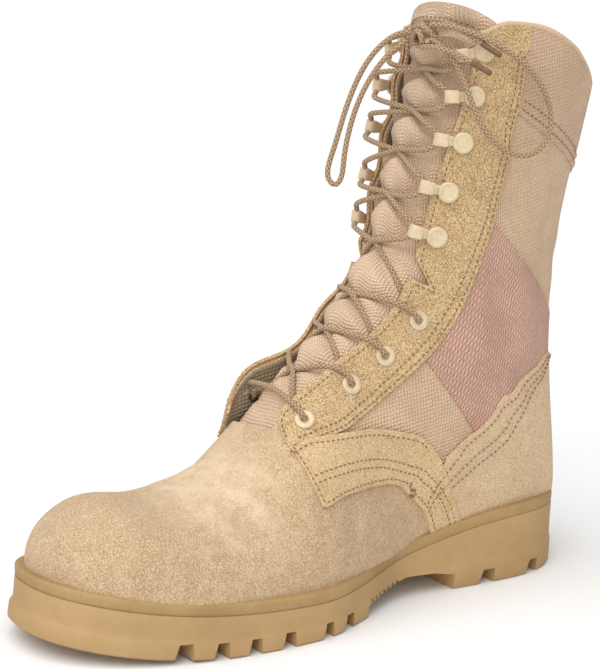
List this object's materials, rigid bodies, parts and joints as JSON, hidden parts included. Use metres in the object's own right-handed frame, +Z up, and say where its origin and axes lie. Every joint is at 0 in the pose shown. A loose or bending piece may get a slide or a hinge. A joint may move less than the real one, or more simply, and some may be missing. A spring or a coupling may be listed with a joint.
{
  "type": "combat boot",
  "caption": "Lace-up boot for the left foot: suede and woven nylon upper with ankle patches, eyelets and speed hooks, tied in a bow, on a lugged rubber sole with a heel.",
  "frame": {"origin": "centre of the boot's box on the plane the sole stands on, the bow left out", "axes": "+Z up, the toe points to -Y and the heel to +Y, the outer side of the left foot to +X"},
  "size_m": [0.1164, 0.3294, 0.3027],
  "materials": {
    "suede": "napped suede",
    "golden_suede": "napped suede",
    "nylon": "woven",
    "webbing": "ribbed weave",
    "rubber": "matt moulded",
    "insole_cloth": "felt",
    "enamel": "semi-gloss",
    "lace": "braided",
    "lace_tip": "crimped film"
  },
  "bodies": {
    "root": {"upper": "suede", "heel_counter": "suede", "facing_outer": "golden_suede", "facing_inner": "golden_suede", "quarter_outer": "golden_suede", "quarter_inner": "golden_suede", "tongue": "nylon", "collar_cuff": "nylon", "ankle_patch_outer": "webbing", "ankle_patch_inner": "webbing", "outsole": "rubber", "midsole": "rubber", "insole": "insole_cloth", "eyelet_outer_1": "enamel", "eyelet_outer_2": "enamel", "eyelet_outer_3": "enamel", "eyelet_outer_4": "enamel", "eyelet_inner_1": "enamel", "eyelet_inner_2": "enamel", "eyelet_inner_3": "enamel", "eyelet_inner_4": "enamel", "hook_outer_1": "enamel", "hook_outer_2": "enamel", "hook_outer_3": "enamel", "hook_outer_4": "enamel", "hook_outer_5": "enamel", "hook_inner_1": "enamel", "hook_inner_2": "enamel", "hook_inner_3": "enamel", "hook_inner_4": "enamel", "hook_inner_5": "enamel", "lacing": "lace", "lace_knot": "lace", "lace_long_loop": "lace", "lace_round_loop": "lace", "lace_end_one": "lace", "lace_end_two": "lace", "aglet_one": "lace_tip", "aglet_two": "lace_tip"}
  },
  "joints": []
}
